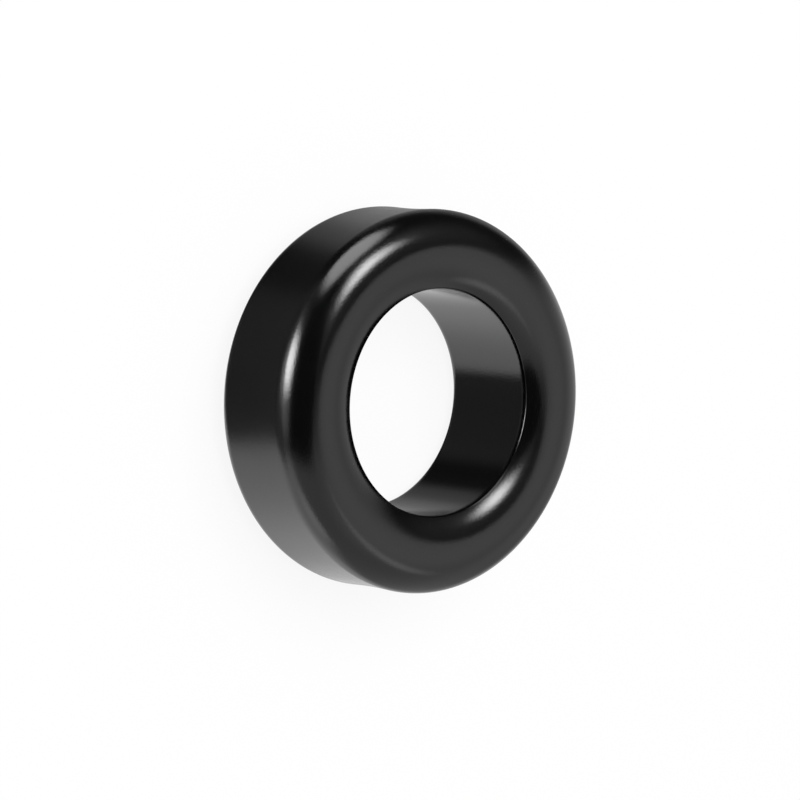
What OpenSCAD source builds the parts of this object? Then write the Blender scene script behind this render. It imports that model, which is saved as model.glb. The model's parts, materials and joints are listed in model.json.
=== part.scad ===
// Coated toroid core: one pressed ring, turned from a half section of straight lines and tangent arcs.
// The axis is Z, the lower face lies on Z = 0, and both faces are alike.

/* [Ring] */
// Diameter of the straight bore
bore_d = 23.8; // [10:0.1:50]
// Thickness of the ring from the bore out to the shoulders, over the coating
wall_w = 8.35; // [5.5:0.05:13]
// Height from face to face
height = 14.4; // [7:0.1:40]
// Width of the flat ring on each face, which the core rests on
flat_w = 0.35; // [0.2:0.05:4]

/* [Bore mouth] */
// Radius of the slope that leads from the flat ring towards the bore
slope_r = 5.8; // [2:0.1:9]
// Angle through which the slope leans before the edge takes over
slope_lean = 37; // [10:1:50]
// Radius of the tight edge at the foot of the slope
edge_r = 0.2; // [0.1:0.05:0.6]
// Angle at which the edge hands over to the lip
lip_lean = 66; // [55:1:80]
// Radius of the steep lip that leads into the bore
lip_r = 1.7; // [0.5:0.1:2.5]

/* [Outer rounding] */
// Angle through which the broad crown leans before the shoulder takes over
crown_lean = 57; // [30:1:80]
// Radius of the tighter shoulder that turns the crown down into the wall
shoulder_r = 1.8; // [0.4:0.1:3.5]
// How far the outer wall draws in at mid height
waist_depth = 0.1; // [0.02:0.01:0.5]

/* [Hidden] */
$fn = 240;
// Straight steps that stand for each arc of the half section, and for the short arc of the edge
arc_steps = 16;
edge_steps = 5;
coat_colour = [0.03, 0.03, 0.032];

// A corner is made of arcs that touch, each from one lean of the surface to the next, 90 being the wall.
// These give what one arc covers along the face, and how far it goes down along the wall.
function arc_w(r, from, to) = r * (sin(to) - sin(from));
function arc_h(r, from, to) = r * (cos(from) - cos(to));

// Points along an arc, without its first point, where the line before it ends
function arc(centre, r, from, to, steps = arc_steps) = [
    for (i = [1:steps])
        let (angle = from + (to - from) * i / steps)
        centre + r * [cos(angle), sin(angle)]
];

// The section is drawn about mid height, so the upper face is at face_z.
face_z = height / 2;
bore_r = bore_d / 2;
outer_r = bore_r + wall_w;

mouth_w = arc_w(slope_r, 0, slope_lean) + arc_w(edge_r, slope_lean, lip_lean) + arc_w(lip_r, lip_lean, 90);
mouth_h = arc_h(slope_r, 0, slope_lean) + arc_h(edge_r, slope_lean, lip_lean) + arc_h(lip_r, lip_lean, 90);
flat_in_r = bore_r + mouth_w;
flat_out_r = flat_in_r + flat_w;

// The crown takes up what the mouth and the flat ring leave of the wall.
crown_r = (outer_r - flat_out_r - arc_w(shoulder_r, crown_lean, 90)) / sin(crown_lean);
crown_h = arc_h(crown_r, 0, crown_lean) + arc_h(shoulder_r, crown_lean, 90);

lip_at = [bore_r + lip_r, face_z - mouth_h];
slope_at = [flat_in_r, face_z - slope_r];
edge_at = slope_at + (slope_r - edge_r) * [-sin(slope_lean), cos(slope_lean)];
crown_at = [flat_out_r, face_z - crown_r];
shoulder_at = [outer_r - shoulder_r, face_z - crown_h];

// The waist's arc is centred outside the ring and touches both shoulders, so the wall has no crease.
waist_reach = (pow(waist_depth, 2) + pow(shoulder_at.y, 2)) / (2 * waist_depth);
waist_r = waist_reach - shoulder_r;
waist_at = [outer_r - waist_depth + waist_r, 0];
waist_lean = asin(shoulder_at.y / waist_reach);

// From the top of the straight bore over the mouth, the flat, the crown and the shoulder to mid wall
upper_outline = concat(
    [[bore_r, lip_at.y]],
    arc(lip_at, lip_r, 180, 90 + lip_lean),
    arc(edge_at, edge_r, 90 + lip_lean, 90 + slope_lean, edge_steps),
    arc(slope_at, slope_r, 90 + slope_lean, 90),
    [[flat_out_r, face_z]],
    arc(crown_at, crown_r, 90, 90 - crown_lean),
    arc(shoulder_at, shoulder_r, 90 - crown_lean, -waist_lean),
    arc(waist_at, waist_r, 180 - waist_lean, 180)
);
lower_outline = [for (i = [len(upper_outline) - 2:-1:0]) [upper_outline[i].x, -upper_outline[i].y]];

module core() {
    color(coat_colour)
        translate([0, 0, face_z])
            rotate_extrude() polygon(concat(upper_outline, lower_outline));
}

core();
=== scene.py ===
import json
import math

import bpy
from mathutils import Matrix, Vector


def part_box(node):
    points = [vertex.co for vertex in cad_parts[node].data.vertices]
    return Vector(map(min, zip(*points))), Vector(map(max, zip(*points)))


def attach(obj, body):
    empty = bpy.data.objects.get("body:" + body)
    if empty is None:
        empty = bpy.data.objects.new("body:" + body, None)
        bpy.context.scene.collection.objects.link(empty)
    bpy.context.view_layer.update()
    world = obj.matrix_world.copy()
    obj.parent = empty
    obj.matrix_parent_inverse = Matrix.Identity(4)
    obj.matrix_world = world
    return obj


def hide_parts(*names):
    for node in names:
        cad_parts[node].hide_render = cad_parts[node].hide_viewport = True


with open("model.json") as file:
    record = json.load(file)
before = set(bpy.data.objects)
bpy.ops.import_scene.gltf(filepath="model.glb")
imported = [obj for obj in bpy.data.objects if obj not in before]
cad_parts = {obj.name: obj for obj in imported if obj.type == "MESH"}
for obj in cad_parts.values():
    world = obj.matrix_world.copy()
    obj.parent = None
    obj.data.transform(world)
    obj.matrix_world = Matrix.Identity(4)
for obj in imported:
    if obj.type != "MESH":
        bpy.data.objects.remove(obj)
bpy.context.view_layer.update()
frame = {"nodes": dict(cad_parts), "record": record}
print("frame loaded:", ", ".join(frame["nodes"]))

# what the frame says of the ring: its box, and the straight stretch of its bore
lowCorner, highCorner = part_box("core")
outerRadius = (highCorner.x - lowCorner.x) / 2
height = highCorner.z - lowCorner.z
midHeight = (highCorner.z + lowCorner.z) / 2
boreMount = next(mount for mount in frame["record"]["mounts"] if mount["name"] == "bore")
boreRadius = boreMount["dims"]["r_mm"] / 1000
mouthDepth = (height - boreMount["dims"]["length_mm"] / 1000) / 2
ringCentre = Vector((0, 0, midHeight))


# camera

cameraView = {
    "distance": 0.40809,        # from the ring's middle
    "elevation": 50.25,         # the photo shows the ring stood up, so the camera looks down on it
    "roll": 96.31,              # and lies on its side, which puts the ring's axis level in the picture
    "lens": 173.44,
    "sensorWidth": 36,
    "frameSide": 800,
    "centrePixel": (403.37, 398.87),  # where the photo has the ring's middle
}


def placeCamera(spec):
    camera = bpy.data.objects.new("camera", bpy.data.cameras.new("camera"))
    bpy.context.collection.objects.link(camera)
    camera.data.lens = spec["lens"]
    camera.data.sensor_width = spec["sensorWidth"]
    tilt = Matrix.Rotation(math.radians(90 - spec["elevation"]), 3, "X")
    turn = tilt @ Matrix.Rotation(math.radians(spec["roll"]), 3, "Z")
    metresPerPixel = spec["distance"] / (spec["lens"] / spec["sensorWidth"] * spec["frameSide"])
    right, down = [(pixel - spec["frameSide"] / 2) * metresPerPixel for pixel in spec["centrePixel"]]
    camera.location = ringCentre + turn @ Vector((-right, down, spec["distance"]))
    camera.rotation_euler = turn.to_euler()
    bpy.context.scene.camera = camera


placeCamera(cameraView)
print("camera placed")


# the ring

ringShape = {
    "slopeLean": 37.0,          # degrees that the dished mouth leans over before its edge
    "edgeRadius": 0.0002,       # the tight edge at the foot of the dish
    "lipLean": 66.0,            # degrees at which the steep lip takes over
    "lipRadius": 0.0017,
    "flatWidth": 0.00035,       # the narrow flat ring on each face
    "crownLean": 57.0,          # degrees that the crown leans over before the shoulder
    "shoulderRadius": 0.0018,
    "waistDepth": 0.0001,       # how far the wall draws in at mid height
    "turnSteps": 288,
    "boreSteps": 6,
    "lipSteps": 10,
    "edgeSteps": 8,
    "slopeSteps": 20,
    "flatSteps": 3,
    "crownSteps": 28,
    "shoulderSteps": 16,
    "waistSteps": 6,
    "mergeDistance": 1e-6,
}


def selectOnly(obj):
    bpy.ops.object.select_all(action="DESELECT")
    obj.select_set(True)
    bpy.context.view_layer.objects.active = obj


def drawLine(dx, dz, steps=1):
    for _ in range(steps):
        bpy.ops.mesh.extrude_region_move(
            TRANSFORM_OT_translate={"value": (dx / steps, 0, dz / steps)}
        )


def drawArc(x, z, degrees, steps):
    # clockwise where degrees is above 0, seen with X to the right and Z up
    bpy.ops.mesh.spin(
        steps=steps, angle=math.radians(degrees), center=(x, 0, z), axis=(0, -1, 0)
    )


def turnRing(spec):
    slopeLean = math.radians(spec["slopeLean"])
    lipLean = math.radians(spec["lipLean"])
    edge = spec["edgeRadius"]
    lip = spec["lipRadius"]
    edgeDepth = edge * (math.cos(slopeLean) - math.cos(lipLean))
    slope = (mouthDepth - edgeDepth - lip * math.cos(lipLean)) / (1 - math.cos(slopeLean))
    lipWidth = lip * (1 - math.sin(lipLean))
    edgeWidth = edge * (math.sin(lipLean) - math.sin(slopeLean))
    flatStart = boreRadius + lipWidth + edgeWidth + slope * math.sin(slopeLean)
    flatEnd = flatStart + spec["flatWidth"]

    crownLean = math.radians(spec["crownLean"])
    shoulder = spec["shoulderRadius"]
    crown = shoulder + (outerRadius - flatEnd - shoulder) / math.sin(crownLean)
    top = height / 2
    shoulderRise = top - crown + (crown - shoulder) * math.cos(crownLean)
    waistReach = (spec["waistDepth"] ** 2 + shoulderRise ** 2) / (2 * spec["waistDepth"])
    waistLean = math.degrees(math.asin(shoulderRise / waistReach))
    waistCentre = outerRadius - spec["waistDepth"] + waistReach - shoulder

    # the section is drawn on from one point at mid bore
    bpy.ops.object.select_all(action="DESELECT")
    bpy.ops.mesh.primitive_plane_add(size=0.001, location=(boreRadius, 0, midHeight))
    ring = bpy.context.object
    ring.name = "coated_ring"
    bpy.ops.object.transform_apply(location=True, rotation=False, scale=False)
    bpy.ops.object.mode_set(mode="EDIT")
    bpy.ops.mesh.select_all(action="SELECT")
    bpy.ops.mesh.merge(type="CENTER")

    # the upper half of the section, from mid bore over the face to mid wall
    boreTop = top - mouthDepth
    drawLine(0, boreTop, spec["boreSteps"])
    drawArc(boreRadius + lip, midHeight + boreTop, 90 - spec["lipLean"], spec["lipSteps"])
    drawArc(
        flatStart - (slope - edge) * math.sin(slopeLean),
        midHeight + top - slope + (slope - edge) * math.cos(slopeLean),
        spec["lipLean"] - spec["slopeLean"],
        spec["edgeSteps"],
    )
    drawArc(flatStart, midHeight + top - slope, spec["slopeLean"], spec["slopeSteps"])
    drawLine(spec["flatWidth"], 0, spec["flatSteps"])
    drawArc(flatEnd, midHeight + top - crown, spec["crownLean"], spec["crownSteps"])
    drawArc(
        outerRadius - shoulder,
        midHeight + shoulderRise,
        90 - spec["crownLean"] + waistLean,
        spec["shoulderSteps"],
    )
    drawArc(waistCentre, midHeight, -waistLean, spec["waistSteps"])

    # the lower half is its mirror image
    bpy.ops.mesh.select_all(action="SELECT")
    bpy.ops.mesh.duplicate()
    bpy.ops.transform.resize(value=(1, 1, -1), center_override=(0, 0, midHeight))
    bpy.ops.mesh.select_all(action="SELECT")
    bpy.ops.mesh.remove_doubles(threshold=spec["mergeDistance"])

    bpy.ops.mesh.select_all(action="SELECT")
    bpy.ops.mesh.spin(
        steps=spec["turnSteps"], angle=math.tau, center=(0, 0, midHeight), axis=(0, 0, 1)
    )
    bpy.ops.mesh.select_all(action="SELECT")
    bpy.ops.mesh.remove_doubles(threshold=spec["mergeDistance"])
    bpy.ops.mesh.normals_make_consistent(inside=False)
    bpy.ops.object.mode_set(mode="OBJECT")
    selectOnly(ring)
    bpy.ops.object.shade_smooth()
    return ring


ring = turnRing(ringShape)
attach(ring, "root")
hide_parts("core")
print("ring turned:", len(ring.data.polygons), "faces")


# node helpers

def addNode(tree, kind, **values):
    node = tree.nodes.new(kind)
    for name, value in values.items():
        setattr(node, name, value)
    return node


def connect(tree, source, target):
    # a plain number or colour is set on the socket, anything else is linked
    if isinstance(source, bpy.types.NodeSocket):
        tree.links.new(source, target)
    else:
        target.default_value = source


def addMath(tree, operation, first, second=0.0, clamp=False):
    node = addNode(tree, "ShaderNodeMath", operation=operation, use_clamp=clamp)
    connect(tree, first, node.inputs[0])
    connect(tree, second, node.inputs[1])
    return node.outputs[0]


def addRange(tree, value, fromLow, fromHigh, toLow, toHigh, smooth=False):
    node = addNode(tree, "ShaderNodeMapRange")
    if smooth:
        node.interpolation_type = "SMOOTHSTEP"
    for place, source in enumerate((value, fromLow, fromHigh, toLow, toHigh)):
        connect(tree, source, node.inputs[place])
    return node.outputs[0]


# the coating

coatingLook = {
    "deepBlack": (0.0007, 0.0007, 0.0008, 1),
    "thinBlack": (0.0013, 0.0013, 0.0013, 1),
    "roughness": (0.09, 0.13),
    "wallRoughness": 0.08,      # the outer wall is rougher by this much
    "wallBand": (0.0004, 0.00015),  # inside the outer radius, where that begins and where it is full
    "grainScale": 5200,         # grains of about a fifth of a millimetre
    "grainDetail": 2,
    "grainHeight": 0.000008,
    "grainRoughness": 0.05,
    "grainSpan": (0.35, 0.65),  # the stretch of the noise that the roughness follows
    "peelScale": 900,
    "peelDetail": 1,
    "peelHeight": 0.0000022,
    "cloudScale": 210,
    "cloudDetail": 4,
    "cloudSpan": (0.3, 0.7),
}


def addNoise(tree, place, scale, detail):
    noise = addNode(tree, "ShaderNodeTexNoise")
    connect(tree, place, noise.inputs["Vector"])
    noise.inputs["Scale"].default_value = scale
    noise.inputs["Detail"].default_value = detail
    return noise.outputs["Fac"]


def addBump(tree, height, distance, under=None):
    bump = addNode(tree, "ShaderNodeBump")
    bump.inputs["Distance"].default_value = distance
    connect(tree, height, bump.inputs["Height"])
    if under is not None:
        connect(tree, under, bump.inputs["Normal"])
    return bump.outputs["Normal"]


def makeCoating(spec):
    material = bpy.data.materials.new("blackCoating")
    material.use_nodes = True
    tree = material.node_tree
    shader = tree.nodes["Principled BSDF"]
    place = addNode(tree, "ShaderNodeTexCoord").outputs["Object"]

    cloud = addNoise(tree, place, spec["cloudScale"], spec["cloudDetail"])
    colour = addNode(tree, "ShaderNodeMix", data_type="RGBA")
    connect(tree, cloud, colour.inputs["Factor"])
    colour.inputs["A"].default_value = spec["deepBlack"]
    colour.inputs["B"].default_value = spec["thinBlack"]
    connect(tree, colour.outputs["Result"], shader.inputs["Base Color"])

    peel = addNoise(tree, place, spec["peelScale"], spec["peelDetail"])
    peelBump = addBump(tree, peel, spec["peelHeight"])
    grain = addNoise(tree, place, spec["grainScale"], spec["grainDetail"])
    grainBump = addBump(tree, grain, spec["grainHeight"], peelBump)
    connect(tree, grainBump, shader.inputs["Normal"])

    flattened = addNode(tree, "ShaderNodeVectorMath", operation="MULTIPLY")
    connect(tree, place, flattened.inputs[0])
    flattened.inputs[1].default_value = (1, 1, 0)
    fromAxis = addNode(tree, "ShaderNodeVectorMath", operation="LENGTH")
    connect(tree, flattened.outputs["Vector"], fromAxis.inputs[0])
    reach = fromAxis.outputs["Value"]
    wallStart, wallEnd = [outerRadius - depth for depth in spec["wallBand"]]
    wallRough = addRange(tree, reach, wallStart, wallEnd, 0.0, spec["wallRoughness"])
    rough = addRange(tree, cloud, *spec["cloudSpan"], *spec["roughness"])
    speckle = addRange(tree, grain, *spec["grainSpan"], 0.0, spec["grainRoughness"])
    rough = addMath(tree, "ADD", addMath(tree, "ADD", rough, wallRough), speckle)
    connect(tree, rough, shader.inputs["Roughness"])
    return material


ring.data.materials.append(makeCoating(coatingLook))
print("coating made")


# studio: directions are degrees round the ring, 0 on the camera's side, and degrees above the floor

tent = {
    "radius": 1.5,
    "segments": 96,
    "rings": 48,
    "paleLevel": 0.74,
    # azimuth, half width, elevation, half height, lean, edge, power, level
    "palePanels": {
        "backGlow": (154, 52, 58, 18, 0, 13, 2, 1.12),
        "paleTop": (150, 110, 92, 14, 0, 7, 6, 0.3),
        "lowBack": (160, 22, -22, 28, 0, 14, 2, 0.34),
        "backStripe": (127, 7, 47, 17, -0.45, 4, 2, 1.75),
        "sideSheet": (60, 52, -20, 40, -0.95, 8, 8, 1.85),
        "sheetFold": (68, 15, 14, 7, -0.3, 4, 2, 2.3),
        "lowSheet": (64, 56, -72, 26, 0, 11, 3, 1.18),
        "sheetFade": (139, 36, -50, 26, -0.3, 15, 2, 1.05),
    },
    # the dark cloth stops at two edges, and the right one moves on above and below the horizon
    "leftEdge": -159.0,
    "rightEdge": 32.5,
    "rightEdgeAbove": 0.007,    # for each squared degree
    "rightEdgeBelow": 0.04,     # for each degree
    "edgeSoftness": (4.5, 8.5),
    "softnessAt": (-50.0, 10.0),    # the elevations where the two softnesses hold
    "darkLevel": 0.045,
    "darkPanels": {
        "upperLeftGrey": (-128, 26, 54, 38, 0, 12, 2, 0.22),
        "upperGrey": (-120, 70, 86, 10, 0, 5, 2, 0.15),
        "lowerLeftFade": (-114, 20, -41, 27, 0.25, 8, 2.5, 0.28),
        "lowerLeftGrey": (-143, 24, -41, 27, 0.25, 8, 3, 0.42),
        "lowerLeftFront": (-41, 14, -14, 32, 0, 5, 4, 0.2),
        "lowerFrontGrey": (3, 34, -20, 27, 0, 7, 4, 0.34),
        "lowestGrey": (-12, 48, -66, 28, 0, 6, 4, 0.17),
        "frontHalo": (-6, 30, 7, 22, 0, 13, 2, 0.5),
        "frontApron": (-9, 13, -2, 16, 0, 9, 2, 2.6),
        "frontWing": (7, 16, 16, 10, 0, 9, 2, 1.5),
        "frontBox": (-12, 12.5, 15.4, 11.4, 0.2, 7, 2.5, 19.0),
        "highHalo": (-94, 27, 55, 24, 0.5, 12, 2, 0.52),
        "highBox": (-98, 15.5, 54, 9.5, 0.35, 8, 2, 18.0),
        "flatBox": (-75, 20, 17.5, 14.5, 0.2, 4, 2.6, 5.2),
    },
}


def makePanelGroup():
    group = bpy.data.node_groups.new("panelMask", "ShaderNodeTree")
    names = ("Azimuth", "Elevation", "Centre Azimuth", "Half Width", "Centre Elevation",
             "Half Height", "Lean", "Edge", "Power")
    for name in names:
        group.interface.new_socket(name, in_out="INPUT", socket_type="NodeSocketFloat")
    group.interface.new_socket("Mask", in_out="OUTPUT", socket_type="NodeSocketFloat")
    given = addNode(group, "NodeGroupInput").outputs
    result = addNode(group, "NodeGroupOutput")
    rise = addMath(group, "SUBTRACT", given["Elevation"], given["Centre Elevation"])
    shear = addMath(group, "MULTIPLY", rise, given["Lean"])
    aside = addMath(group, "SUBTRACT", given["Azimuth"], given["Centre Azimuth"])
    aside = addMath(group, "SUBTRACT", aside, shear)
    terms = []
    for distance, half in ((aside, "Half Width"), (rise, "Half Height")):
        share = addMath(group, "DIVIDE", addMath(group, "ABSOLUTE", distance), given[half])
        terms.append(addMath(group, "POWER", share, given["Power"]))
    root = addMath(group, "DIVIDE", 1.0, given["Power"])
    reach = addMath(group, "POWER", addMath(group, "ADD", *terms), root)
    smaller = addMath(group, "MINIMUM", given["Half Width"], given["Half Height"])
    soft = addMath(group, "DIVIDE", given["Edge"], smaller)
    inner = addMath(group, "SUBTRACT", 1.0, soft)
    outer = addMath(group, "ADD", 1.0, soft)
    connect(group, addRange(group, reach, inner, outer, 1.0, 0.0, smooth=True), result.inputs["Mask"])
    return group


def addBlend(tree, share, first, second):
    blend = addNode(tree, "ShaderNodeMix", data_type="FLOAT")
    connect(tree, share, blend.inputs[0])
    connect(tree, first, blend.inputs[2])
    connect(tree, second, blend.inputs[3])
    return blend.outputs[0]


def addPanels(tree, group, azimuth, elevation, level, panels):
    for name, panel in panels.items():
        mask = addNode(tree, "ShaderNodeGroup", node_tree=group, label=name)
        connect(tree, azimuth, mask.inputs["Azimuth"])
        connect(tree, elevation, mask.inputs["Elevation"])
        for socket, value in zip(list(mask.inputs)[2:], panel):
            socket.default_value = value
        level = addBlend(tree, mask.outputs["Mask"], level, float(panel[-1]))
    return level


def makeTentMaterial(spec):
    material = bpy.data.materials.new("tentCloth")
    material.use_nodes = True
    tree = material.node_tree
    tree.nodes.clear()
    place = addNode(tree, "ShaderNodeTexCoord").outputs["Object"]
    unit = addNode(tree, "ShaderNodeVectorMath", operation="NORMALIZE")
    connect(tree, place, unit.inputs[0])
    axes = addNode(tree, "ShaderNodeSeparateXYZ")
    connect(tree, unit.outputs["Vector"], axes.inputs[0])
    towards = addMath(tree, "MULTIPLY", axes.outputs["Y"], -1.0)
    azimuth = addMath(tree, "ARCTAN2", axes.outputs["X"], towards)
    azimuth = addMath(tree, "MULTIPLY", azimuth, math.degrees(1))
    elevation = addMath(tree, "ARCSINE", axes.outputs["Z"])
    elevation = addMath(tree, "MULTIPLY", elevation, math.degrees(1))

    group = makePanelGroup()
    around = addMath(tree, "MODULO", addMath(tree, "ADD", azimuth, 360.0), 360.0)
    level = addPanels(tree, group, around, elevation, spec["paleLevel"], spec["palePanels"])

    soft = addRange(tree, elevation, *spec["softnessAt"], *spec["edgeSoftness"])
    backSoft = addMath(tree, "MULTIPLY", soft, -1.0)
    above = addMath(tree, "MAXIMUM", elevation, 0.0)
    below = addMath(tree, "MINIMUM", elevation, 0.0)
    bend = addMath(tree, "MULTIPLY", addMath(tree, "POWER", above, 2.0), spec["rightEdgeAbove"])
    slant = addMath(tree, "MULTIPLY", below, spec["rightEdgeBelow"])
    fromRight = addMath(tree, "SUBTRACT", azimuth, spec["rightEdge"])
    fromRight = addMath(tree, "ADD", addMath(tree, "SUBTRACT", fromRight, bend), slant)
    rightMask = addRange(tree, fromRight, backSoft, soft, 1.0, 0.0, smooth=True)
    fromLeft = addMath(tree, "SUBTRACT", azimuth, spec["leftEdge"])
    leftMask = addRange(tree, fromLeft, backSoft, soft, 0.0, 1.0, smooth=True)
    cover = addMath(tree, "MULTIPLY", rightMask, leftMask)
    level = addBlend(tree, cover, level, spec["darkLevel"])
    level = addPanels(tree, group, azimuth, elevation, level, spec["darkPanels"])

    glow = addNode(tree, "ShaderNodeEmission")
    connect(tree, level, glow.inputs["Strength"])
    output = addNode(tree, "ShaderNodeOutputMaterial")
    connect(tree, glow.outputs[0], output.inputs["Surface"])
    material.cycles.emission_sampling = "NONE"
    return material


def pitchTent(spec):
    bpy.ops.object.select_all(action="DESELECT")
    bpy.ops.mesh.primitive_uv_sphere_add(
        segments=spec["segments"], ring_count=spec["rings"], radius=spec["radius"], location=ringCentre
    )
    cloth = bpy.context.object
    cloth.name = "light_tent"
    cloth.data.materials.append(makeTentMaterial(spec))
    # it is there for the gloss alone
    cloth.visible_camera = False
    cloth.visible_diffuse = False
    cloth.visible_transmission = False
    cloth.visible_shadow = False


pitchTent(tent)
print("tent pitched")


# floor, world and lamp

studio = {
    "floorSize": 3.0,
    "floorColour": (0.9, 0.9, 0.9, 1),
    "whiteShare": 0.9,          # the rest of the floor's tone is lit, and keeps the ring's shadow
    "worldLevel": 0.45,         # what the world adds to lit surfaces
    "lampPower": 6.0,
    "lampSize": 0.7,
    "lampPlace": (-0.25, -0.1, 0.8),
}


def seenDirectly(tree):
    # 1 for the camera, and for what gloss and glass show
    rays = addNode(tree, "ShaderNodeLightPath").outputs
    both = addMath(tree, "ADD", rays["Is Camera Ray"], rays["Is Glossy Ray"])
    return addMath(tree, "ADD", both, rays["Is Transmission Ray"], clamp=True)


def layFloor(spec):
    bpy.ops.object.select_all(action="DESELECT")
    bpy.ops.mesh.primitive_plane_add(size=spec["floorSize"], location=(0, 0, 0))
    floor = bpy.context.object
    floor.name = "floor"
    material = bpy.data.materials.new("paleFloor")
    material.use_nodes = True
    tree = material.node_tree
    tree.nodes.clear()
    lit = addNode(tree, "ShaderNodeBsdfDiffuse")
    lit.inputs["Color"].default_value = spec["floorColour"]
    white = addNode(tree, "ShaderNodeEmission")
    share = addMath(tree, "MULTIPLY", seenDirectly(tree), spec["whiteShare"])
    mix = addNode(tree, "ShaderNodeMixShader")
    connect(tree, share, mix.inputs["Fac"])
    connect(tree, lit.outputs[0], mix.inputs[1])
    connect(tree, white.outputs[0], mix.inputs[2])
    output = addNode(tree, "ShaderNodeOutputMaterial")
    connect(tree, mix.outputs[0], output.inputs["Surface"])
    floor.data.materials.append(material)
    floor.visible_glossy = False


def lightWorld(spec):
    world = bpy.data.worlds.new("studio")
    bpy.context.scene.world = world
    world.use_nodes = True
    tree = world.node_tree
    back = tree.nodes["Background"]
    back.inputs["Color"].default_value = (1, 1, 1, 1)
    level = addRange(tree, seenDirectly(tree), 0.0, 1.0, spec["worldLevel"], 1.0)
    connect(tree, level, back.inputs["Strength"])


def hangLamp(spec):
    lamp = bpy.data.objects.new("softLamp", bpy.data.lights.new("softLamp", "AREA"))
    bpy.context.collection.objects.link(lamp)
    lamp.data.energy = spec["lampPower"]
    lamp.data.size = spec["lampSize"]
    lamp.location = spec["lampPlace"]
    lamp.rotation_euler = (ringCentre - lamp.location).to_track_quat("-Z", "Y").to_euler()
    lamp.visible_glossy = False


layFloor(studio)
lightWorld(studio)
hangLamp(studio)
bpy.context.scene.view_settings.view_transform = "Standard"
print("studio lit")
